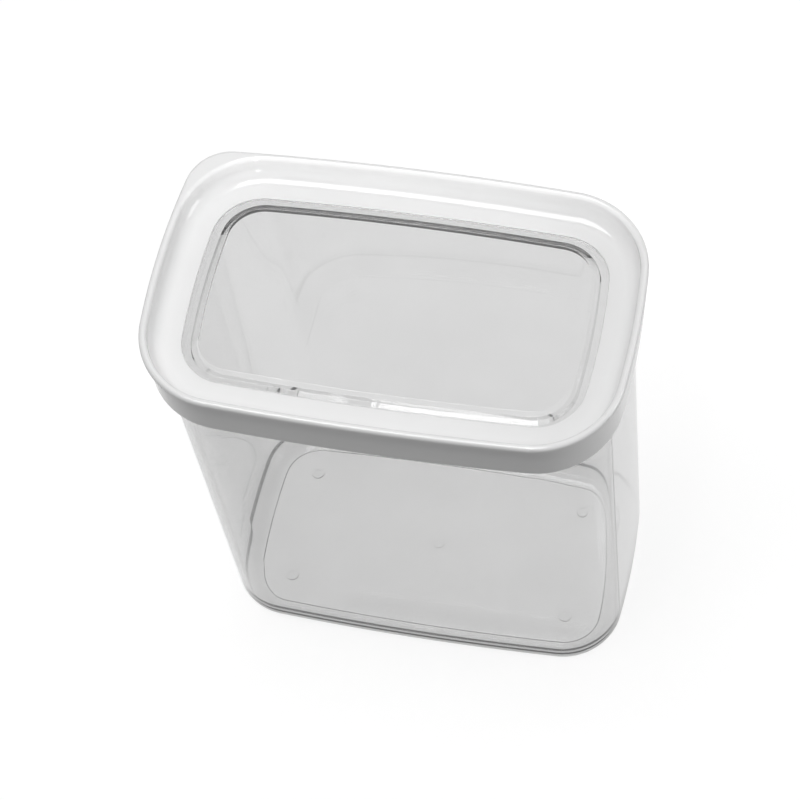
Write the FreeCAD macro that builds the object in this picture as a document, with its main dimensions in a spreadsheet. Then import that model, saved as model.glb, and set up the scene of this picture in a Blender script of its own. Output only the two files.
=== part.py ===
import FreeCAD, Part
import Sketcher
import math
import os

# A dry-food storage canister: a clear rounded-rectangular tub and a press-on
# lid, which is a white frame with a dished top around a clear window.
# Millimetres, +Z up.  X runs along the long side of the lid and Y across it,
# and the origin is on the ground, under the middle of the tub.

SIZES = {
    # the whole
    "lid_length": 150.0,           # over the bowed ends of the lid
    "lid_width": 92.9,             # over the bowed long sides of the lid
    "total_height": 167.6,         # ground to the top of the lid's bead
    # plan outline of the lid: four shallow arcs and four corners, all tangent
    "corner_radius": 27.4,
    "long_side_radius": 998.0,
    "end_radius": 244.0,
    # rim of the lid frame
    "bead_radius": 1.2,
    "lip_edge": 0.7,               # straight edge below the bead
    "lip_height": 2.7,             # bead top to where the skirt begins
    "skirt_inset": 1.2,            # skirt face behind the lip
    "skirt_height": 17.0,          # bead top to the skirt's lower edge
    "skirt_wall": 1.6,
    "skirt_edge_rounding": 0.5,
    # dished top
    "dish_depth": 7.6,
    "cove_radius": 5.0,
    "ledge_thickness": 2.0,
    "window_inset": 12.0,          # lid outline to the window's edge
    # lift tab at one corner
    "tab_corner_radius": 14.0,     # squarer than the lid's own corner
    "tab_thickness": 2.2,
    "tab_drop": 0.15,              # tab's top below the crest of the bead
    "tab_inset": 0.3,              # lid outline to where the tab leaves it
    "tab_overlap": 0.5,            # tab into the bead, past its crest
    "tab_edge_rounding": 0.9,
    # window
    "window_clearance": 0.1,
    "window_drop": 0.3,            # window's border below the ledge
    "border_width_ends": 2.8,      # flat band round the raised panel
    "border_width_sides": 2.0,
    "panel_rise": 1.2,
    "panel_slope": 2.4,            # plan width of the slope up to the panel
    "panel_rounding": 0.3,
    "hollow_lead": 0.4,            # hollow's edge outside the panel's foot
    "hollow_depth": 2.0,           # under the panel
    "hollow_slope": 2.6,
    "hollow_rounding": 0.3,
    "flange_thickness": 2.1,
    "flange_clearance": 0.5,       # flange to the tub's mouth
    # tub
    "neck_inset_ends": 4.8,        # lid outline to the tub wall, at the neck
    "neck_inset_sides": 5.7,
    "base_narrowing": 1.6,         # draft of each wall from the neck to the ground
    "tub_wall": 2.0,
    "floor_thickness": 2.0,
    "base_rounding": 5.6,
    "floor_cove": 7.5,
    "collar_clearance": 0.3,       # tub's collar to the inside of the skirt
    "collar_height": 2.4,
    "collar_rounding": 0.6,
    "foot_ring_width": 2.0,
    "foot_recess": 0.6,
    # marks of the moulding on the tub's floor
    "pip_diameter": 4.6,
    "pip_height": 0.5,
    "pip_gap_ends": 18.2,          # tub wall to the pips, at the floor
    "pip_gap_sides": 16.9,
    "gate_diameter": 4.0,
    "gate_height": 0.3,
}

doc = FreeCAD.newDocument("storage_canister")
sheet = doc.addObject("Spreadsheet::Sheet", "Sizes")
for row, (alias, size) in enumerate(SIZES.items(), start=1):
    sheet.set("A%d" % row, alias)
    sheet.set("B%d" % row, str(size))
    sheet.setAlias("B%d" % row, alias)
doc.recompute()


class Amount:
    """A sum of named sizes, as a number for first drafts and as an expression."""

    def __init__(self, **shares):
        self.shares = shares
        self.number = sum(share * SIZES[name] for name, share in shares.items())
        terms = ["%g * Sizes.%s" % (share, name) for name, share in shares.items()]
        self.expression = " + ".join(terms)

    def plus(self, **shares):
        merged = dict(self.shares)
        for name, share in shares.items():
            merged[name] = merged.get(name, 0) + share
        return Amount(**merged)


# Heights above the ground and insets from the lid's outline.
LID_TOP = Amount(total_height=1)
LEDGE_TOP = LID_TOP.plus(dish_depth=-1)
RIM_TOP = LEDGE_TOP.plus(ledge_thickness=-1)
FLOOR_TOP = Amount(foot_recess=1, floor_thickness=1)
FLANGE_BOTTOM = RIM_TOP.plus(flange_thickness=-1)
WINDOW_TOP = LEDGE_TOP.plus(window_drop=-1)
PANEL_TOP = WINDOW_TOP.plus(panel_rise=1)
HOLLOW_TOP = FLANGE_BOTTOM.plus(hollow_depth=1)

SKIRT_INSIDE = Amount(skirt_inset=1, skirt_wall=1)
COLLAR = SKIRT_INSIDE.plus(collar_clearance=1)
NECK = (Amount(neck_inset_ends=1), Amount(neck_inset_sides=1))
MOUTH = tuple(inset.plus(tub_wall=1) for inset in NECK)
FLANGE = tuple(inset.plus(flange_clearance=1) for inset in MOUTH)
FLOOR_WALL = tuple(inset.plus(base_narrowing=1) for inset in MOUTH)
FOOT_RECESS = tuple(inset.plus(base_narrowing=1, base_rounding=1, foot_ring_width=1)
                    for inset in NECK)
WINDOW_EDGE = Amount(window_inset=1, window_clearance=1)
PANEL_FOOT = (WINDOW_EDGE.plus(border_width_ends=1), WINDOW_EDGE.plus(border_width_sides=1))
HOLLOW_FOOT = tuple(inset.plus(hollow_lead=-1) for inset in PANEL_FOOT)


def new_body(label):
    body = doc.addObject("PartDesign::Body", label)
    body.Label = label
    return body


def plane(body, role):
    return next(item for item in body.Origin.OriginFeatures if item.Role == role)


def new_sketch(body, name, role="XY_Plane", height=None):
    """A sketch on one of the body's own planes, raised to a height."""
    sketch = body.newObject("Sketcher::SketchObject", name)
    sketch.AttachmentSupport = [(plane(body, role), "")]
    sketch.MapMode = "FlatFace"
    if height is not None:
        sketch.setExpression(".AttachmentOffset.Base.z", height.expression)
    return sketch


def bind(sketch, name, kind, *where, amount):
    """Add a dimension and tie it to the sheet."""
    index = sketch.addConstraint(Sketcher.Constraint(kind, *where, amount.number))
    sketch.renameConstraint(index, name)
    sketch.setExpression("Constraints.%s" % name, amount.expression)


def pin(sketch, name, geometry, point, across, up):
    """Place a point by its two distances from the sketch's origin."""
    bind(sketch, name + "_x", "DistanceX", -1, 1, geometry, point, amount=across)
    bind(sketch, name + "_y", "DistanceY", -1, 1, geometry, point, amount=up)


def arc(centre, radius, start, end):
    circle = Part.Circle(FreeCAD.Vector(centre[0], centre[1], 0), FreeCAD.Vector(0, 0, 1), radius)
    return Part.ArcOfCircle(circle, start, end)


def add_outline(sketch, inset_ends, inset_sides=None, split_end=False):
    """The lid's plan outline moved inwards: bowed sides and ends with round corners.

    With split_end the +X end is two arcs that meet on the X axis, so that a path
    can start there.
    """
    inset_sides = inset_sides or inset_ends
    inward = {name: -share for name, share in inset_sides.shares.items()}
    corner = Amount(corner_radius=1).plus(**inward)
    side = Amount(long_side_radius=1).plus(**inward)
    end = Amount(end_radius=1).plus(**inward)
    # how far the centres of the long arcs lie beyond the middle
    end_back = end.plus(lid_length=-0.5, **inset_ends.shares)
    side_back = side.plus(lid_width=-0.5, **inset_sides.shares)

    corner_x, corner_y = corner_centre(corner.number, side.number, end.number,
                                       side_back.number, end_back.number)
    low = math.atan2(corner_y, corner_x + end_back.number)
    high = math.atan2(corner_y + side_back.number, corner_x)
    full, half = 2 * math.pi, math.pi
    x_end, y_side = end_back.number, side_back.number
    arcs = []
    if split_end:
        arcs.append(arc((-x_end, 0), end.number, 0, low))
    else:
        arcs.append(arc((-x_end, 0), end.number, -low, low))
    arcs += [
        arc((corner_x, corner_y), corner.number, low, high),
        arc((0, -y_side), side.number, high, half - high),
        arc((-corner_x, corner_y), corner.number, half - high, half - low),
        arc((x_end, 0), end.number, half - low, half + low),
        arc((-corner_x, -corner_y), corner.number, half + low, half + high),
        arc((0, y_side), side.number, half + high, full - high),
        arc((corner_x, -corner_y), corner.number, full - high, full - low),
    ]
    if split_end:
        arcs.append(arc((-x_end, 0), end.number, full - low, full))
    first = sketch.addGeometry(arcs, False)[0]
    count = len(arcs)
    plus_x, back, minus_x, front = first, first + 2, first + 4, first + 6
    for step in range(count):
        following = first + (step + 1) % count
        sketch.addConstraint(Sketcher.Constraint("Tangent", first + step, 2, following, 1))
    for geometry, axis in ((plus_x, -1), (minus_x, -1), (back, -2), (front, -2)):
        sketch.addConstraint(Sketcher.Constraint("PointOnObject", geometry, 3, axis))
    for left, right in ((plus_x, minus_x), (back, front), (first + 1, first + 3),
                        (first + 3, first + 5), (first + 5, first + 7)):
        sketch.addConstraint(Sketcher.Constraint("Equal", left, right))
    if split_end:
        last = first + count - 1
        sketch.addConstraint(Sketcher.Constraint("PointOnObject", plus_x, 1, -1))
        sketch.addConstraint(Sketcher.Constraint("Equal", plus_x, last))
    bind(sketch, "corner", "Radius", first + 1, amount=corner)
    bind(sketch, "side", "Radius", back, amount=side)
    bind(sketch, "end", "Radius", plus_x, amount=end)
    bind(sketch, "plus_x_centre", "DistanceX", plus_x, 3, -1, 1, amount=end_back)
    bind(sketch, "minus_x_centre", "DistanceX", -1, 1, minus_x, 3, amount=end_back)
    bind(sketch, "back_centre", "DistanceY", back, 3, -1, 1, amount=side_back)
    bind(sketch, "front_centre", "DistanceY", -1, 1, front, 3, amount=side_back)
    return sketch


def crossing(first, first_radius, second, second_radius, turn=1):
    """Where two circles meet, to the left of the line between them, or right for -1."""
    across, up = second[0] - first[0], second[1] - first[1]
    apart = math.hypot(across, up)
    along = (first_radius ** 2 - second_radius ** 2 + apart ** 2) / (2 * apart)
    off = turn * math.sqrt(first_radius ** 2 - along ** 2)
    unit_x, unit_y = across / apart, up / apart
    return (first[0] + along * unit_x - off * unit_y,
            first[1] + along * unit_y + off * unit_x)


def corner_centre(corner, side, end, side_back, end_back):
    """Centre of the corner arc that is tangent to a side arc and an end arc."""
    return crossing((-end_back, 0), end - corner, (0, -side_back), side - corner)


def add_circle(sketch, name, across, up, diameter):
    """A full circle pinned at a distance from the two axes, on any side of them."""
    x, x_sign = across
    y, y_sign = up
    centre = FreeCAD.Vector(x_sign * x.number, y_sign * y.number, 0)
    circle = Part.Circle(centre, FreeCAD.Vector(0, 0, 1), diameter.number / 2)
    index = sketch.addGeometry(circle, False)
    ends_x = (-1, 1, index, 3) if x_sign > 0 else (index, 3, -1, 1)
    ends_y = (-1, 1, index, 3) if y_sign > 0 else (index, 3, -1, 1)
    bind(sketch, name + "_x", "DistanceX", *ends_x, amount=x)
    bind(sketch, name + "_y", "DistanceY", *ends_y, amount=y)
    bind(sketch, name + "_wide", "Diameter", index, amount=diameter)


def pad(body, name, sketch, length, downwards=False, taper=None):
    feature = body.newObject("PartDesign::Pad", name)
    feature.Profile = sketch
    feature.Reversed = downwards
    feature.setExpression("Length", length.expression)
    if taper:
        feature.setExpression("TaperAngle", taper)
    doc.recompute()
    return feature


def pocket(body, name, sketch, depth, upwards=False, taper=None):
    before = body.Shape.Volume
    feature = body.newObject("PartDesign::Pocket", name)
    feature.Profile = sketch
    feature.Reversed = upwards
    feature.setExpression("Length", depth.expression)
    if taper:
        feature.setExpression("TaperAngle", taper)
    doc.recompute()
    if body.Shape.Volume >= before - 1:
        raise RuntimeError(name + " cuts nothing")
    return feature


def edges_at(body, height):
    """Names of the level edges at a height."""
    names = []
    for number, edge in enumerate(body.Shape.Edges, start=1):
        box = edge.BoundBox
        if abs(box.ZMin - height) < 0.01 and abs(box.ZMax - height) < 0.01:
            names.append("Edge%d" % number)
    return names


def fillet(body, name, names, radius):
    if not names:
        raise RuntimeError(name + " finds no edges")
    base = body.Tip
    feature = body.newObject("PartDesign::Fillet", name)
    feature.Base = (base, names)
    feature.setExpression("Radius", radius.expression)
    doc.recompute()
    return feature


def make_tub():
    """Clear tub: drafted bowed walls, rounded base on a foot ring, collar at the mouth."""
    body = new_body("tub")
    draft = "-atan(Sizes.base_narrowing / (%s))" % RIM_TOP.expression
    outside = add_outline(new_sketch(body, "TubOutline", height=RIM_TOP), *NECK)
    pad(body, "TubOuter", outside, RIM_TOP, downwards=True, taper=draft)
    fillet(body, "TubBaseRounding", edges_at(body, 0), Amount(base_rounding=1))

    collar = add_outline(new_sketch(body, "CollarOutline", height=RIM_TOP), COLLAR)
    pad(body, "Collar", collar, Amount(collar_height=1), downwards=True)
    fillet(body, "CollarRounding", edges_at(body, RIM_TOP.number), Amount(collar_rounding=1))

    mouth = add_outline(new_sketch(body, "MouthOutline", height=RIM_TOP), *MOUTH)
    depth = RIM_TOP.plus(foot_recess=-1, floor_thickness=-1)
    pocket(body, "Cavity", mouth, depth, taper=draft)
    fillet(body, "FloorCove", edges_at(body, FLOOR_TOP.number), Amount(floor_cove=1))

    foot = add_outline(new_sketch(body, "FootOutline"), *FOOT_RECESS)
    pocket(body, "FootRecess", foot, Amount(foot_recess=1), upwards=True)

    pips = new_sketch(body, "PipCircles", height=FLOOR_TOP)
    across = Amount(lid_length=0.5, pip_gap_ends=-1).plus(
        **{name: -share for name, share in FLOOR_WALL[0].shares.items()})
    up = Amount(lid_width=0.5, pip_gap_sides=-1).plus(
        **{name: -share for name, share in FLOOR_WALL[1].shares.items()})
    for number, (x_sign, y_sign) in enumerate(((1, 1), (-1, 1), (-1, -1), (1, -1))):
        add_circle(pips, "pip%d" % number, (across, x_sign), (up, y_sign),
                   Amount(pip_diameter=1))
    pad(body, "Pips", pips, Amount(pip_height=1))

    gate = new_sketch(body, "GateCircle", height=FLOOR_TOP)
    circle = Part.Circle(FreeCAD.Vector(0, 0, 0), FreeCAD.Vector(0, 0, 1),
                         SIZES["gate_diameter"] / 2)
    index = gate.addGeometry(circle, False)
    gate.addConstraint(Sketcher.Constraint("Coincident", index, 3, -1, 1))
    bind(gate, "gate_wide", "Diameter", index, amount=Amount(gate_diameter=1))
    pad(body, "GateMark", gate, Amount(gate_height=1))
    return body


def make_lid_frame():
    """White frame of the lid: bead, coved dish, ledge and skirt swept round the outline."""
    body = new_body("lid_frame")
    path = add_outline(new_sketch(body, "LidOutline"), Amount(), split_end=True)
    profile = new_sketch(body, "RimSection", role="XZ_Plane")
    draw_rim_section(profile)
    doc.recompute()
    sweep = body.newObject("PartDesign::AdditivePipe", "RimSweep")
    sweep.Profile = profile
    sweep.Spine = path
    doc.recompute()
    skirt_foot = below_top(skirt_height=1)
    fillet(body, "SkirtRounding", edges_at(body, skirt_foot.number),
           Amount(skirt_edge_rounding=1))
    draw_tab(body)
    return body


def from_outline(**insets):
    """A place on the rim's section, measured inwards from the lid's end."""
    return Amount(lid_length=0.5).plus(**{name: -share for name, share in insets.items()})


def below_top(**drops):
    return LID_TOP.plus(**{name: -share for name, share in drops.items()})


def draw_rim_section(sketch):
    """Section of the rim at the +X end: sketch x is X and sketch y is the height."""
    lip_foot = (from_outline(), below_top(bead_radius=1, lip_edge=1))
    lip_side = (from_outline(), below_top(bead_radius=1))
    bead_inside = (from_outline(bead_radius=2), below_top(bead_radius=1))
    cove_start = (from_outline(bead_radius=2), below_top(dish_depth=1, cove_radius=-1))
    cove_end = (from_outline(bead_radius=2, cove_radius=1), below_top(dish_depth=1))
    ledge_edge = (from_outline(window_inset=1), below_top(dish_depth=1))
    ledge_under = (from_outline(window_inset=1), below_top(dish_depth=1, ledge_thickness=1))
    skirt_root = (from_outline(skirt_inset=1, skirt_wall=1),
                  below_top(dish_depth=1, ledge_thickness=1))
    skirt_foot_in = (from_outline(skirt_inset=1, skirt_wall=1), below_top(skirt_height=1))
    skirt_foot_out = (from_outline(skirt_inset=1), below_top(skirt_height=1))
    skirt_head = (from_outline(skirt_inset=1), below_top(lip_height=1))

    def at(place):
        return FreeCAD.Vector(place[0].number, place[1].number, 0)

    bead_centre = (from_outline(bead_radius=1), lip_side[1])
    cove_centre = (cove_end[0], cove_start[1])
    corners = [cove_end, ledge_edge, ledge_under, skirt_root, skirt_foot_in,
               skirt_foot_out, skirt_head, lip_foot, lip_side]
    chain = [Part.LineSegment(at(one), at(two)) for one, two in zip(corners, corners[1:])]
    # the bead is a half circle over the top, the cove a quarter circle below it
    chain.append(arc(at(bead_centre), SIZES["bead_radius"], 0, math.pi))
    chain.append(Part.LineSegment(at(bead_inside), at(cove_start)))
    chain.append(arc(at(cove_centre), SIZES["cove_radius"], -math.pi / 2, 0))
    sketch.addGeometry(chain, False)

    lines = len(corners) - 1
    bead_arc, wall, cove_arc = lines, lines + 1, lines + 2
    for step in range(lines - 1):
        sketch.addConstraint(Sketcher.Constraint("Coincident", step, 2, step + 1, 1))
    # arcs run anticlockwise: the bead from its outer end, the cove from the ledge
    sketch.addConstraint(Sketcher.Constraint("Coincident", lines - 1, 2, bead_arc, 1))
    sketch.addConstraint(Sketcher.Constraint("Coincident", bead_arc, 2, wall, 1))
    sketch.addConstraint(Sketcher.Constraint("Coincident", wall, 2, cove_arc, 2))
    sketch.addConstraint(Sketcher.Constraint("Coincident", cove_arc, 1, 0, 1))
    for step, place in enumerate(corners):
        geometry, point = (step, 1) if step < lines else (lines - 1, 2)
        pin(sketch, "corner%d" % step, geometry, point, *place)
    pin(sketch, "bead_centre", bead_arc, 3, *bead_centre)
    bind(sketch, "bead_inside", "DistanceY", -1, 1, bead_arc, 2, amount=bead_inside[1])
    pin(sketch, "cove_centre", cove_arc, 3, *cove_centre)
    bind(sketch, "cove_start", "DistanceY", -1, 1, cove_arc, 2, amount=cove_start[1])


def draw_tab(body):
    """Lift tab at the back left corner: a lip whose corner is squarer than the lid's.

    It is a crescent between the tab's own corner arc and the crest of the bead.
    """
    tab_top = below_top(tab_drop=1)
    sketch = new_sketch(body, "TabCrescent", height=tab_top)
    end_back = Amount(end_radius=1, lid_length=-0.5)
    side_back = Amount(long_side_radius=1, lid_width=-0.5)
    end_middle = (end_back.number, 0)
    side_middle = (0, -side_back.number)
    lip = Amount(tab_corner_radius=1)
    crest = Amount(corner_radius=1, bead_radius=-1, tab_overlap=-1)
    reaches = {
        "lip": (Amount(end_radius=1, tab_corner_radius=-1, tab_inset=-1),
                Amount(long_side_radius=1, tab_corner_radius=-1, tab_inset=-1)),
        "crest": (Amount(end_radius=1, corner_radius=-1),
                  Amount(long_side_radius=1, corner_radius=-1)),
    }
    centres = {name: crossing(end_middle, to_end.number, side_middle, to_side.number, -1)
               for name, (to_end, to_side) in reaches.items()}
    tips = [crossing(centres["crest"], crest.number, centres["lip"], lip.number, turn)
            for turn in (-1, 1)]

    def spans(centre):
        return [math.atan2(tip[1] - centre[1], tip[0] - centre[0]) for tip in tips]

    lip_arc, crest_arc, end_point, side_point = range(4)
    sketch.addGeometry([
        arc(centres["lip"], lip.number, *spans(centres["lip"])),
        arc(centres["crest"], crest.number, *spans(centres["crest"]))], False)
    sketch.addGeometry([Part.Point(FreeCAD.Vector(*end_middle, 0)),
                        Part.Point(FreeCAD.Vector(*side_middle, 0))], True)
    sketch.addConstraint(Sketcher.Constraint("Coincident", lip_arc, 1, crest_arc, 1))
    sketch.addConstraint(Sketcher.Constraint("Coincident", lip_arc, 2, crest_arc, 2))
    sketch.addConstraint(Sketcher.Constraint("PointOnObject", end_point, 1, -1))
    sketch.addConstraint(Sketcher.Constraint("PointOnObject", side_point, 1, -2))
    bind(sketch, "end_middle", "DistanceX", -1, 1, end_point, 1, amount=end_back)
    bind(sketch, "side_middle", "DistanceY", side_point, 1, -1, 1, amount=side_back)
    for name, index, radius in (("lip", lip_arc, lip), ("crest", crest_arc, crest)):
        to_end, to_side = reaches[name]
        bind(sketch, name + "_to_end", "Distance", index, 3, end_point, 1, amount=to_end)
        bind(sketch, name + "_to_side", "Distance", index, 3, side_point, 1, amount=to_side)
        bind(sketch, name + "_radius", "Radius", index, amount=radius)
    pad(body, "LiftTab", sketch, Amount(tab_thickness=1), downwards=True)
    levels = (tab_top.number, tab_top.number - SIZES["tab_thickness"])
    rounded = [name for level in levels
               for name in edges_at(body, level) if is_tab_edge(body, name)]
    fillet(body, "TabRounding", rounded, Amount(tab_edge_rounding=1))


def is_tab_edge(body, name):
    """Whether an edge is one of the tab's two long outer arcs."""
    edge = body.Shape.getElement(name)
    radius = getattr(edge.Curve, "Radius", 0)
    return abs(radius - SIZES["tab_corner_radius"]) < 0.01


def make_lid_window():
    """Clear window: a raised panel, hollow below, in a border with a flange under the ledge."""
    body = new_body("lid_window")
    flange = add_outline(new_sketch(body, "FlangeOutline", height=FLANGE_BOTTOM), *FLANGE)
    pad(body, "Flange", flange, Amount(flange_thickness=1))
    border = add_outline(new_sketch(body, "BorderOutline", height=FLANGE_BOTTOM), WINDOW_EDGE)
    pad(body, "Border", border, Amount(flange_thickness=1, ledge_thickness=1, window_drop=-1))

    panel = add_outline(new_sketch(body, "PanelOutline", height=WINDOW_TOP), *PANEL_FOOT)
    slope = "-atan(Sizes.panel_slope / Sizes.panel_rise)"
    pad(body, "Panel", panel, Amount(panel_rise=1), taper=slope)
    fillet(body, "PanelRounding", edges_at(body, PANEL_TOP.number), Amount(panel_rounding=1))

    hollow = add_outline(new_sketch(body, "HollowOutline", height=FLANGE_BOTTOM), *HOLLOW_FOOT)
    slope = "-atan(Sizes.hollow_slope / Sizes.hollow_depth)"
    pocket(body, "Hollow", hollow, Amount(hollow_depth=1), upwards=True, taper=slope)
    fillet(body, "HollowRounding", edges_at(body, HOLLOW_TOP.number), Amount(hollow_rounding=1))
    return body


PARTS = [make_tub(), make_lid_frame(), make_lid_window()]
doc.recompute()
os.makedirs("parts", exist_ok=True)
for item in doc.Objects:
    if "Invalid" in item.State or "Error" in item.State:
        raise RuntimeError(item.Name + " failed: " + ", ".join(item.State))
for body in PARTS:
    if body.Shape.isNull() or not body.Shape.isValid():
        raise RuntimeError(body.Label + " has no valid shape")
for body in PARTS:
    body.Shape.exportStep("parts/%s.step" % body.Label)
    print(body.Label, len(body.Shape.Solids), round(body.Shape.Volume), body.Shape.BoundBox)
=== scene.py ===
import math

import bpy
from mathutils import Matrix, Vector
from mathutils.geometry import tessellate_polygon


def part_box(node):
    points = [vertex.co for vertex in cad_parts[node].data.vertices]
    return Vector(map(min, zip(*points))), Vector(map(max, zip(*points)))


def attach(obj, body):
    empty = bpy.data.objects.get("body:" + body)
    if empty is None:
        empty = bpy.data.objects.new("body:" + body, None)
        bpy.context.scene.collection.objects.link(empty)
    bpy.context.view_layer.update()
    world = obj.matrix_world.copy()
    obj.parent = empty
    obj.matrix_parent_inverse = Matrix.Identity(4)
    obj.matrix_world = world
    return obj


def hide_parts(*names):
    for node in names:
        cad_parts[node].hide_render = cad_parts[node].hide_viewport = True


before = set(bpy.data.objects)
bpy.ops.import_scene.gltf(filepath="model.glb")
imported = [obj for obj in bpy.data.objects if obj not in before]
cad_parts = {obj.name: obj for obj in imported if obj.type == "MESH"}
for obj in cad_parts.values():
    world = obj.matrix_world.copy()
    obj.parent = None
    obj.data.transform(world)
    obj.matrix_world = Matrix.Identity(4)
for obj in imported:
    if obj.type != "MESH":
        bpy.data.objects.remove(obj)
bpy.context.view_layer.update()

# Metres, in the frame's axes: +Z up, X along the long side of the lid.
MM = 0.001

# ---------------------------------------------------------------- camera

CAMERA_AZIMUTH = 22.04             # degrees, from the front round towards +X
CAMERA_ELEVATION = 60.33
CAMERA_ROLL = 11.43                # the camera is held askew by this much
CAMERA_PLACE = Vector((0.16091, -0.40793, 0.87487))
CAMERA_LENS = 124.85               # in millimetres, as the sensor's width is
CAMERA_SENSOR = 36.0
CAMERA_REACH = 0.01, 20            # nearest and farthest distance seen, in metres


def bearing(azimuth, elevation):
    """Unit vector away from the object, by degrees round from the front and up."""
    around, up = math.radians(azimuth), math.radians(elevation)
    return Vector((math.sin(around) * math.cos(up), -math.cos(around) * math.cos(up),
                   math.sin(up)))


def make_camera():
    """The scene's camera, turned about its own axis by the roll."""
    back = bearing(CAMERA_AZIMUTH, CAMERA_ELEVATION)
    level_right = (-back).cross(Vector((0, 0, 1))).normalized()
    level_up = level_right.cross(-back)
    roll = math.radians(CAMERA_ROLL)
    right = level_right * math.cos(roll) - level_up * math.sin(roll)
    up = level_up * math.cos(roll) + level_right * math.sin(roll)
    data = bpy.data.cameras.new("camera")
    data.lens = CAMERA_LENS
    data.sensor_width = CAMERA_SENSOR
    data.clip_start, data.clip_end = CAMERA_REACH
    camera = bpy.data.objects.new("camera", data)
    turn = Matrix((right, up, back)).transposed().to_4x4()
    camera.matrix_world = Matrix.Translation(CAMERA_PLACE) @ turn
    bpy.context.scene.collection.objects.link(camera)
    bpy.context.scene.camera = camera


make_camera()

# ---------------------------------------------------------------- plan outline

LID_LOW, LID_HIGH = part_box("lid_frame")
_, TUB_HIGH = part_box("tub")
WINDOW_LOW, WINDOW_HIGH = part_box("lid_window")

# The lid's outline is four shallow arcs and four corners, all tangent.
HALF_LENGTH, HALF_WIDTH = LID_HIGH.x, -LID_LOW.y
CORNER_RADIUS = 27.4 * MM
SIDE_RADIUS = 998 * MM
END_RADIUS = 244 * MM
TAB_RADIUS = 14 * MM               # the tab's corner is squarer than the rest
END_STEPS, CORNER_STEPS, SIDE_STEPS = 16, 28, 30
CIRCLE_STEPS = 28


def corner_centre(corner, end, side, end_back, side_back):
    """Centre of the corner arc that is tangent to an end arc and a side arc."""
    reach_end, reach_side = end - corner, side - corner
    apart = math.hypot(end_back, side_back)
    along = (reach_end ** 2 - reach_side ** 2 + apart ** 2) / (2 * apart)
    off = math.sqrt(reach_end ** 2 - along ** 2)
    unit_x, unit_y = end_back / apart, -side_back / apart
    return -end_back + along * unit_x - off * unit_y, along * unit_y + off * unit_x


def reach_to_tab(centre, angle, end, side, end_back, side_back, radius):
    """How far a ray from the plain corner's centre goes to the tab's squarer corner.

    It is worked out for the corner at +X +Y, which the tab's corner mirrors.
    """
    spoke = Vector((math.cos(angle), math.sin(angle)))

    def ray_to(middle, circle_radius):
        away = centre - middle
        along = -away.dot(spoke)
        return along + math.sqrt(along ** 2 - away.length_squared + circle_radius ** 2)

    tight = Vector(corner_centre(radius, end, side, end_back, side_back))
    hit = centre + spoke * ray_to(tight, radius)
    turn = math.atan2(hit.y - tight.y, hit.x - tight.x)
    low = math.atan2(tight.y, tight.x + end_back)
    high = math.atan2(tight.y + side_back, tight.x)
    if low <= turn <= high:
        return (hit - centre).length
    return min(ray_to(Vector((-end_back, 0)), end), ray_to(Vector((0, -side_back)), side))


def outline(inset_ends, inset_sides, tab=0.0):
    """Points anticlockwise round the lid's outline, moved in at the ends and the sides.

    tab, up to 1, draws the corner at the back left out to the lift tab.
    """
    end, side = END_RADIUS - inset_sides, SIDE_RADIUS - inset_sides
    end_back = end - HALF_LENGTH + inset_ends
    side_back = side - HALF_WIDTH + inset_sides
    radius = CORNER_RADIUS - inset_sides
    centre = Vector(corner_centre(radius, end, side, end_back, side_back))
    low = math.atan2(centre.y, centre.x + end_back)
    high = math.atan2(centre.y + side_back, centre.x)
    points = []

    def arc(middle, arc_radius, start, stop, steps):
        for step in range(steps):
            angle = start + (stop - start) * step / steps
            points.append(middle + arc_radius * Vector((math.cos(angle), math.sin(angle))))

    def corner(x_sign, y_sign):
        backwards = x_sign * y_sign < 0
        for step in range(CORNER_STEPS):
            share = 1 - step / CORNER_STEPS if backwards else step / CORNER_STEPS
            angle = low + (high - low) * share
            reach = radius
            if tab and (x_sign, y_sign) == (-1, 1):
                drawn = reach_to_tab(centre, angle, end, side, end_back, side_back,
                                     TAB_RADIUS - inset_sides)
                reach += tab * (drawn - radius)
            place = centre + reach * Vector((math.cos(angle), math.sin(angle)))
            points.append(Vector((x_sign * place.x, y_sign * place.y)))

    half, full = math.pi, 2 * math.pi
    arc(Vector((-end_back, 0)), end, -low, low, END_STEPS)
    corner(1, 1)
    arc(Vector((0, -side_back)), side, high, half - high, SIDE_STEPS)
    corner(-1, 1)
    arc(Vector((end_back, 0)), end, half - low, half + low, END_STEPS)
    corner(-1, -1)
    arc(Vector((0, side_back)), side, half + high, full - high, SIDE_STEPS)
    corner(1, -1)
    return points


def circle(centre, radius):
    points = []
    for step in range(CIRCLE_STEPS):
        angle = 2 * math.pi * step / CIRCLE_STEPS
        points.append(Vector((centre[0] + radius * math.cos(angle),
                              centre[1] + radius * math.sin(angle))))
    return points


# ---------------------------------------------------------------- mouldings

QUARTER_STEPS = 5                  # steps in a quarter turn, before its rounding adds some
STEP_ROUNDING = 0.7 * MM           # so much rounding adds one step to a quarter turn
SAME_PLACE = 1e-7


def left_of(direction):
    """Unit vector a quarter turn to the left."""
    return Vector((-direction.y, direction.x)).normalized()


def turned(vector, angle):
    cosine, sine = math.cos(angle), math.sin(angle)
    return Vector((vector.x * cosine - vector.y * sine, vector.x * sine + vector.y * cosine))


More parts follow.
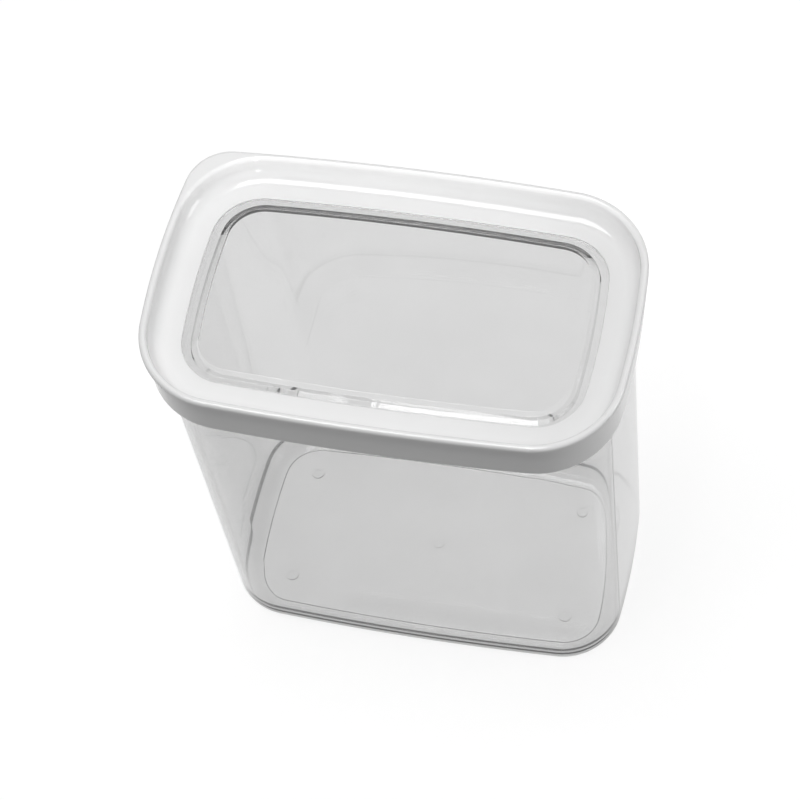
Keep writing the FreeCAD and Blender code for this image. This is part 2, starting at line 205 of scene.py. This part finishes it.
def rounded(corners, closed=False):
    """A moulding's section with its corners rounded, as rows of (across, height, rest).

    A corner is (across, height, rounding, rest...).  across grows outwards from the
    middle of the moulding, and the air is on the left of the walk.
    """
    rows = []
    count = len(corners)
    for index, (across, height, rounding, *rest) in enumerate(corners):
        here = Vector((across, height))
        if not closed and index in (0, count - 1):
            rows.append((across, height, rest))
            continue
        before = Vector(corners[index - 1][:2])
        after = Vector(corners[(index + 1) % count][:2])
        coming, going = (here - before).normalized(), (after - here).normalized()
        turn = math.atan2(coming.x * going.y - coming.y * going.x, coming.dot(going))
        quarters = abs(turn) / math.radians(90)
        steps = max(2, round(quarters * (QUARTER_STEPS + rounding / STEP_ROUNDING)))
        start = here - coming * abs(rounding * math.tan(turn / 2))
        centre = start + left_of(coming) * math.copysign(rounding, turn)
        for step in range(steps + 1):
            place = centre + turned(start - centre, turn * step / steps)
            moved = not rows or (place - Vector(rows[-1][:2])).length > SAME_PLACE
            if moved or rest != rows[-1][2]:
                rows.append((place.x, place.y, rest))
    return rows


class Moulding:
    """A closed skin built from rings of points."""

    def __init__(self):
        self.points = []
        self.faces = []

    def ring(self, points, height):
        """Adds a level ring and gives the numbers of its points."""
        first = len(self.points)
        self.points += [(p.x, p.y, height) for p in points]
        return list(range(first, len(self.points)))

    def skin(self, rings, closed=False):
        """Joins each ring to the next, and if closed the last to the first."""
        pairs = list(zip(rings, rings[1:] + rings[:1]))
        for one, two in pairs if closed else pairs[:-1]:
            count = len(one)
            for step in range(count):
                after = (step + 1) % count
                self.faces.append((one[step], two[step], two[after], one[after]))

    def cap(self, ring, upwards):
        """Fills a ring with one flat face."""
        self.faces.append(tuple(ring) if upwards else tuple(reversed(ring)))

    def piece(self, name, material):
        mesh = bpy.data.meshes.new(name)
        mesh.from_pydata(self.points, [], self.faces)
        mesh.validate()
        mesh.materials.append(material)
        item = bpy.data.objects.new(name, mesh)
        bpy.context.scene.collection.objects.link(item)
        smooth(mesh)
        return item


def smooth(mesh):
    """Smooth shading in which the large faces keep their own direction."""
    normals = [Vector() for _ in mesh.vertices]
    for face in mesh.polygons:
        face.use_smooth = True
        for corner in face.vertices:
            normals[corner] += face.normal * face.area
    mesh.normals_split_custom_set_from_vertices([normal.normalized() for normal in normals])


def section(corners, closed=False):
    """Rows of a section given in millimetres by insets from the lid's outline.

    After its rounding a corner may have what the sides are set in beyond the ends,
    and how far it is drawn out into the lift tab.
    """
    placed = []
    for inset, height, rounding, *rest in corners:
        extra, tab = (list(rest) + [0.0, 0.0])[:2]
        placed.append((-inset * MM, height * MM, rounding * MM, extra * MM, tab))
    return rounded(placed, closed)


def add_rings(moulding, rows):
    """Adds a ring for each row of a section, each along the lid's outline."""
    return [moulding.ring(outline(-across, -across + extra, tab), height)
            for across, height, (extra, tab) in rows]


# ---------------------------------------------------------------- sizes, in millimetres

# Heights are above the base, and insets are inwards from the lid's outline.
TOP = LID_HIGH.z / MM              # crest of the bead
RIM = TUB_HIGH.z / MM              # tub's rim and the ledge's underside
SEAM = 0.04                        # hair's breadth between pieces that touch
CRISP_EDGE, EDGE, SOFT_EDGE = 0.2, 0.25, 0.3

# Lid frame.
LEDGE = TOP - 7.6                  # flat of the dished top
WINDOW_INSET = 12.0                # opening in the ledge
COVE_ROUNDING = 5.0
BEAD_WIDTH, BEAD_HEIGHT, BEAD_ROUNDING = 2.4, 1.9, 1.2
SHOULDER = 0.8                     # height of the slope from the bead in to the skirt
SKIRT_INSET, SKIRT_WALL, SKIRT_HEIGHT = 1.2, 1.6, 17.0
LIP_ROUNDING = 0.5
INTO_TAB = 0, 1                    # ends a corner that is drawn out into the lift tab

# Tub.
FLOOR, FLOOR_ROUNDING = 2.6, 7.5
FLAT_FLOOR = 9.0                   # from the inside of the wall in to where it is flat
WALL = 2.0
NECK, NECK_SIDES = 4.8, 0.9        # inset of the wall at the rim, and more at the sides
NARROWING = 1.6                    # of each wall, from the rim down to the base
RIM_ROUNDING = 0.5
COLLAR_INSET, COLLAR_HEIGHT, COLLAR_ROUNDING = 3.1, 2.4, 0.6
NECK_ROUNDING = 0.4
BASE_ROUNDING = 5.6
FOOT_WIDTH, RECESS, RECESS_SLOPE = 2.0, 0.6, 0.3
FLAT_RECESS = 2.0                  # from the foot ring in to where the recess is flat

# Pips and gate mark on the tub's floor.
PIP_X, PIP_Y = 48.4, 20.25
PIP_RADIUS, PIP_HEIGHT = 2.3, 0.5
GATE_RADIUS, GATE_HEIGHT = 2.0, 0.3
DIMPLE_LEVEL = 0.2                 # share of the height
DIMPLE_MIDDLE, DIMPLE_FLAT, DIMPLE_EDGE = 0.15, 0.42, 0.52    # shares of the radius
DIMPLE_ROUNDING = 0.1
CREST_ROUNDING = 0.25              # share of the height
BUTTON_SLOPE = 0.05                # how far it widens from its crest to the floor
BUTTON_FILLET = 0.05
BUTTON_MARGIN = 0.6                # ring of floor that belongs to it

# Window.
PLAY = 0.1                         # between the window and the opening
BORDER_DROP = 0.3                  # border below the ledge
PANEL_SIDES = -0.8                 # the panel is set in less at the sides
PANEL_INSET, PANEL_SLOPE = 14.9, 2.4
HOLLOW_INSET, HOLLOW_SLOPE, HOLLOW_DEPTH = 14.5, 2.6, 2.0
FLAT_PANEL = 20.0                  # inset from which the panel and the hollow are flat
FLANGE_INSET = 7.3
SEAT_ROUNDING = 0.15


def wall_inset(height):
    """Inset of the outside of the tub's wall."""
    return NECK + NARROWING * (RIM - height) / RIM


# ---------------------------------------------------------------- pieces

def make_lid_frame(material):
    """Bead, coved dish, ledge, skirt and lift tab, as one closed section."""
    rim = Moulding()
    bead_foot = TOP - BEAD_HEIGHT
    lip = TOP - SKIRT_HEIGHT
    skirt_inside = SKIRT_INSET + SKIRT_WALL
    rows = section([
        (WINDOW_INSET, LEDGE, EDGE),
        (BEAD_WIDTH, LEDGE, COVE_ROUNDING),
        (BEAD_WIDTH, TOP, BEAD_ROUNDING),
        (0, TOP, BEAD_ROUNDING, *INTO_TAB),
        (0, bead_foot, CRISP_EDGE, *INTO_TAB),
        (SKIRT_INSET, bead_foot - SHOULDER, EDGE),
        (SKIRT_INSET, lip, LIP_ROUNDING),
        (skirt_inside, lip, LIP_ROUNDING),
        (skirt_inside, RIM, SOFT_EDGE),
        (WINDOW_INSET, RIM, CRISP_EDGE),
    ], closed=True)
    rim.skin(add_rings(rim, rows), closed=True)
    return rim.piece("lid_frame_moulding", material)


def make_tub(material):
    """Shell with a collar at the mouth, a foot ring, four pips and a gate mark."""
    tub = Moulding()
    rim = RIM - SEAM
    collar_foot = RIM - COLLAR_HEIGHT
    foot = wall_inset(0) + BASE_ROUNDING + FOOT_WIDTH
    rows = section([
        (wall_inset(FLOOR) + WALL + FLAT_FLOOR, FLOOR, 0, NECK_SIDES),
        (wall_inset(FLOOR) + WALL, FLOOR, FLOOR_ROUNDING, NECK_SIDES),
        (wall_inset(rim) + WALL, rim, RIM_ROUNDING, NECK_SIDES),
        (COLLAR_INSET, rim, COLLAR_ROUNDING),
        (COLLAR_INSET, collar_foot, SOFT_EDGE),
        (wall_inset(collar_foot), collar_foot, NECK_ROUNDING, NECK_SIDES),
        (wall_inset(0), 0, BASE_ROUNDING, NECK_SIDES),
        (foot, 0, EDGE, NECK_SIDES),
        (foot + RECESS_SLOPE, RECESS, EDGE, NECK_SIDES),
        (foot + FLAT_RECESS, RECESS, 0, NECK_SIDES),
    ])
    rings = add_rings(tub, rows)
    tub.skin(rings)
    tub.cap(rings[-1], upwards=False)

    holes = []
    for x_sign in (1, -1):
        for y_sign in (1, -1):
            holes.append(add_button(tub, (x_sign * PIP_X, y_sign * PIP_Y),
                                    PIP_RADIUS, PIP_HEIGHT))
    holes.append(add_button(tub, (0, 0), GATE_RADIUS, GATE_HEIGHT))
    fill_floor(tub, rings[0], holes)
    return tub.piece("tub_shell", material)


def add_button(moulding, centre, radius, height):
    """A round pip with a dimple; gives the ring of floor round it."""
    dimple = FLOOR + DIMPLE_LEVEL * height
    crest = FLOOR + height
    corners = [
        (DIMPLE_MIDDLE * radius, dimple, 0),
        (DIMPLE_FLAT * radius, dimple, DIMPLE_ROUNDING),
        (DIMPLE_EDGE * radius, crest, DIMPLE_ROUNDING),
        (radius, crest, CREST_ROUNDING * height),
        (radius + BUTTON_SLOPE, FLOOR, BUTTON_FILLET),
        (radius + BUTTON_MARGIN, FLOOR, 0),
    ]
    rows = rounded([[size * MM for size in corner] for corner in corners])
    middle = (centre[0] * MM, centre[1] * MM)
    rings = [moulding.ring(circle(middle, across), level) for across, level, _ in rows]
    moulding.skin(rings)
    moulding.cap(rings[0], upwards=True)
    return rings[-1]


def fill_floor(moulding, edge, holes):
    """The flat floor between its edge and the holes for the pips and the gate mark."""
    loops = [edge] + [list(reversed(hole)) for hole in holes]
    corners = [corner for loop in loops for corner in loop]
    places = [[Vector(moulding.points[corner]) for corner in loop] for loop in loops]
    for one, two, three in tessellate_polygon(places):
        a, b, c = (Vector(moulding.points[corners[index]]) for index in (one, two, three))
        face = (corners[one], corners[two], corners[three])
        moulding.faces.append(face if (b - a).cross(c - a).z > 0 else face[::-1])


def make_window(material):
    """A raised panel over a hollow, in a flat border, with a flange below the ledge."""
    pane = Moulding()
    panel = WINDOW_HIGH.z / MM
    border = LEDGE - BORDER_DROP
    seat = RIM - SEAM
    underside = WINDOW_LOW.z / MM
    hollow = underside + HOLLOW_DEPTH
    rows = section([
        (FLAT_PANEL, panel, 0, PANEL_SIDES),
        (PANEL_INSET + PANEL_SLOPE, panel, SOFT_EDGE, PANEL_SIDES),
        (PANEL_INSET, border, SOFT_EDGE, PANEL_SIDES),
        (WINDOW_INSET + PLAY, border, CRISP_EDGE),
        (WINDOW_INSET + PLAY, seat, SEAT_ROUNDING),
        (FLANGE_INSET, seat, CRISP_EDGE, NECK_SIDES),
        (FLANGE_INSET, underside, CRISP_EDGE, NECK_SIDES),
        (HOLLOW_INSET, underside, SOFT_EDGE, PANEL_SIDES),
        (HOLLOW_INSET + HOLLOW_SLOPE, hollow, SOFT_EDGE, PANEL_SIDES),
        (FLAT_PANEL, hollow, 0, PANEL_SIDES),
    ])
    rings = add_rings(pane, rows)
    pane.skin(rings)
    pane.cap(rings[0], upwards=True)
    pane.cap(rings[-1], upwards=False)
    return pane.piece("lid_window_pane", material)


# ---------------------------------------------------------------- materials

NOISE_SPAN = 0.3, 0.7              # limits that the noise seldom passes


def new_material(name):
    """An empty material and its tree of nodes."""
    material = bpy.data.materials.new(name)
    material.use_nodes = True
    material.node_tree.nodes.clear()
    return material, material.node_tree


def add_node(tree, kind, **settings):
    node = tree.nodes.new(kind)
    for key, value in settings.items():
        setattr(node, key, value)
    return node


def map_range(tree, socket, span, values, **settings):
    """Maps a socket's value from the first pair of limits to the second."""
    spread = add_node(tree, "ShaderNodeMapRange", **settings)
    keys = "From Min", "From Max", "To Min", "To Max"
    for key, limit in zip(keys, (*span, *values)):
        spread.inputs[key].default_value = limit
    tree.links.new(socket, spread.inputs["Value"])
    return spread.outputs["Result"]


def combine(tree, operation, one, two):
    node = add_node(tree, "ShaderNodeMath", operation=operation)
    tree.links.new(one, node.inputs[0])
    tree.links.new(two, node.inputs[1])
    return node.outputs[0]


def fine_noise(tree, scale, low, high):
    """A slight variation of a value over the piece, from low to high."""
    place = add_node(tree, "ShaderNodeTexCoord")
    noise = add_node(tree, "ShaderNodeTexNoise")
    noise.inputs["Scale"].default_value = scale
    noise.inputs["Detail"].default_value = 3
    tree.links.new(place.outputs["Object"], noise.inputs["Vector"])
    return map_range(tree, noise.outputs["Fac"], NOISE_SPAN, (low, high))


def paint(tree, shader, tint, unevenness, scale):
    """A grey base colour that varies slightly over the piece."""
    colour = add_node(tree, "ShaderNodeCombineColor")
    shade = fine_noise(tree, scale, tint - unevenness, tint + unevenness)
    for channel in ("Red", "Green", "Blue"):
        tree.links.new(shade, colour.inputs[channel])
    tree.links.new(colour.outputs[0], shader.inputs["Base Color"])


def clear_plastic(name, tint, density, passes):
    """Clear moulded plastic: it refracts, darkens where thick and throws light shadows.

    tint is the grey of what shows through it, density is how fast it darkens with its
    thickness, and passes is the share of a lamp's light that each surface lets through.
    """
    material, tree = new_material(name)
    plastic = add_node(tree, "ShaderNodeBsdfPrincipled")
    plastic.inputs["Transmission Weight"].default_value = 1.0
    plastic.inputs["IOR"].default_value = 1.53
    paint(tree, plastic, tint, unevenness=0.008, scale=60)
    unevenly = fine_noise(tree, scale=240, low=0.0, high=0.012)
    tree.links.new(unevenly, plastic.inputs["Roughness"])
    through = add_node(tree, "ShaderNodeBsdfTransparent")
    through.inputs["Color"].default_value = (passes, passes, passes, 1)
    light = add_node(tree, "ShaderNodeLightPath")
    mix = add_node(tree, "ShaderNodeMixShader")
    out = add_node(tree, "ShaderNodeOutputMaterial")
    tree.links.new(light.outputs["Is Shadow Ray"], mix.inputs[0])
    tree.links.new(plastic.outputs[0], mix.inputs[1])
    tree.links.new(through.outputs[0], mix.inputs[2])
    tree.links.new(mix.outputs[0], out.inputs["Surface"])
    thick = add_node(tree, "ShaderNodeVolumeAbsorption")
    thick.inputs["Color"].default_value = (0.5, 0.5, 0.5, 1)
    thick.inputs["Density"].default_value = density
    tree.links.new(thick.outputs[0], out.inputs["Volume"])
    return material


def white_plastic():
    """Glossy white moulded plastic."""
    material, tree = new_material("white_gloss_plastic")
    plastic = add_node(tree, "ShaderNodeBsdfPrincipled")
    paint(tree, plastic, tint=0.86, unevenness=0.01, scale=45)
    unevenly = fine_noise(tree, scale=300, low=0.05, high=0.09)
    tree.links.new(unevenly, plastic.inputs["Roughness"])
    plastic.inputs["IOR"].default_value = 1.5
    out = add_node(tree, "ShaderNodeOutputMaterial")
    tree.links.new(plastic.outputs[0], out.inputs["Surface"])
    return material


def seen_directly(tree):
    """1 for camera, glossy and transmission rays, which see the background as white."""
    light = add_node(tree, "ShaderNodeLightPath")
    seen = combine(tree, "MAXIMUM", light.outputs["Is Camera Ray"],
                   light.outputs["Is Transmission Ray"])
    return combine(tree, "MAXIMUM", seen, light.outputs["Is Glossy Ray"])


# ---------------------------------------------------------------- studio

STAGE_COLOUR = 0.30                # the pale floor under the canister
STAGE_GLOW = 0.79                  # added where the floor is seen, so that it looks white
STAGE_REACH = 4.0                  # from its middle to its edges
STAGE_GAP = 0.2 * MM               # below the base, so that the two don't flicker
LID_MIDDLE = Vector((0, 0, LEDGE + 2.5)) * MM    # in the dish, where the lamps point


def make_floor():
    """A matt floor that keeps the object's shadow."""
    mesh = bpy.data.meshes.new("floor")
    corners = [(x_sign * STAGE_REACH, y_sign * STAGE_REACH, 0)
               for x_sign, y_sign in ((-1, -1), (1, -1), (1, 1), (-1, 1))]
    mesh.from_pydata(corners, [], [(0, 1, 2, 3)])
    floor = bpy.data.objects.new("floor", mesh)
    floor.location.z = -STAGE_GAP
    bpy.context.scene.collection.objects.link(floor)
    material, tree = new_material("floor")
    matt = add_node(tree, "ShaderNodeBsdfDiffuse")
    matt.inputs["Color"].default_value = (STAGE_COLOUR, STAGE_COLOUR, STAGE_COLOUR, 1)
    glow = add_node(tree, "ShaderNodeEmission")
    tree.links.new(seen_directly(tree), glow.inputs["Strength"])
    glow.inputs["Color"].default_value = (STAGE_GLOW, STAGE_GLOW, STAGE_GLOW, 1)
    both = add_node(tree, "ShaderNodeAddShader")
    out = add_node(tree, "ShaderNodeOutputMaterial")
    tree.links.new(matt.outputs[0], both.inputs[0])
    tree.links.new(glow.outputs[0], both.inputs[1])
    tree.links.new(both.outputs[0], out.inputs["Surface"])
    mesh.materials.append(material)


def make_world():
    """Seen as white, but it lights the object as a dim studio with a high bright window."""
    world = bpy.data.worlds.new("studio")
    world.use_nodes = True
    tree = world.node_tree
    tree.nodes.clear()
    place = add_node(tree, "ShaderNodeTexCoord")
    parts = add_node(tree, "ShaderNodeSeparateXYZ")
    tree.links.new(place.outputs["Generated"], parts.inputs[0])

    def ramp(axis, low, high, dark, bright):
        """Brightness that rises from dark to bright as the direction goes along an axis."""
        return map_range(tree, parts.outputs[axis], (low, high), (dark, bright),
                         interpolation_type="SMOOTHSTEP")

    sky = ramp("Z", low=-0.1, high=0.9, dark=0.05, bright=0.26)
    behind = ramp("Y", low=0.38, high=0.55, dark=0.0, bright=1.8)
    high_up = ramp("Z", low=0.55, high=0.80, dark=0.0, bright=1.0)
    side = ramp("X", low=0.0, high=1.0, dark=0.0, bright=0.15)
    window = combine(tree, "MULTIPLY", behind, high_up)
    total = combine(tree, "ADD", combine(tree, "ADD", sky, window), side)
    studio = add_node(tree, "ShaderNodeBackground")
    tree.links.new(total, studio.inputs["Strength"])
    white = add_node(tree, "ShaderNodeBackground")
    mix = add_node(tree, "ShaderNodeMixShader")
    out = add_node(tree, "ShaderNodeOutputWorld")
    white.inputs["Color"].default_value = (1, 1, 1, 1)
    tree.links.new(seen_directly(tree), mix.inputs[0])
    tree.links.new(studio.outputs[0], mix.inputs[1])
    tree.links.new(white.outputs[0], mix.inputs[2])
    tree.links.new(mix.outputs[0], out.inputs["Surface"])
    bpy.context.scene.world = world


def add_light(name, kind, place, back, power):
    """A lamp at a place, with its back turned to the direction given."""
    data = bpy.data.lights.new(name, kind)
    data.energy = power
    lamp = bpy.data.objects.new(name, data)
    lamp.location = place
    lamp.rotation_euler = back.to_track_quat("Z", "Y").to_euler()
    bpy.context.scene.collection.objects.link(lamp)
    return data


def add_softbox(name, place, size, power):
    """A square lamp that points at the middle of the lid."""
    place = Vector(place)
    data = add_light(name, "AREA", place, place - LID_MIDDLE, power)
    data.shape = "SQUARE"
    data.size = size


def add_skimmer(azimuth, elevation, distance, power):
    """A low spot in front whose cone begins just above the near edge of the lid.

    It lights the far walls of the dish and leaves the skirt and the tub alone.
    """
    cone = 80.0
    data = add_light("skimmer", "SPOT", LID_MIDDLE + bearing(azimuth, elevation) * distance,
                     bearing(azimuth, elevation - cone / 2), power)
    data.spot_size = math.radians(cone)
    data.spot_blend = 0.02
    data.shadow_soft_size = 0.006


# ---------------------------------------------------------------- scene

tub_plastic = clear_plastic("clear_plastic", tint=0.90, density=180.0, passes=0.92)
window_plastic = clear_plastic("pane_plastic", tint=0.97, density=20.0, passes=0.95)

for piece, node, slot in ((make_tub(tub_plastic), "tub", "clear_plastic"),
                          (make_lid_frame(white_plastic()), "lid_frame", "white_plastic"),
                          (make_window(window_plastic), "lid_window", "window_plastic")):
    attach(piece, "root")
    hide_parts(node)

make_floor()
make_world()
add_softbox("overhead", (-0.22, -0.10, 1.27), size=0.60, power=7.0)
add_softbox("core", (0.0, -0.25, 1.2), size=0.05, power=0.5)
add_softbox("right", (1.1, 0.15, 0.45), size=0.5, power=3.2)
add_skimmer(azimuth=5.0, elevation=9.0, distance=1.5, power=54.0)

scene = bpy.context.scene
scene.view_settings.view_transform = "Standard"
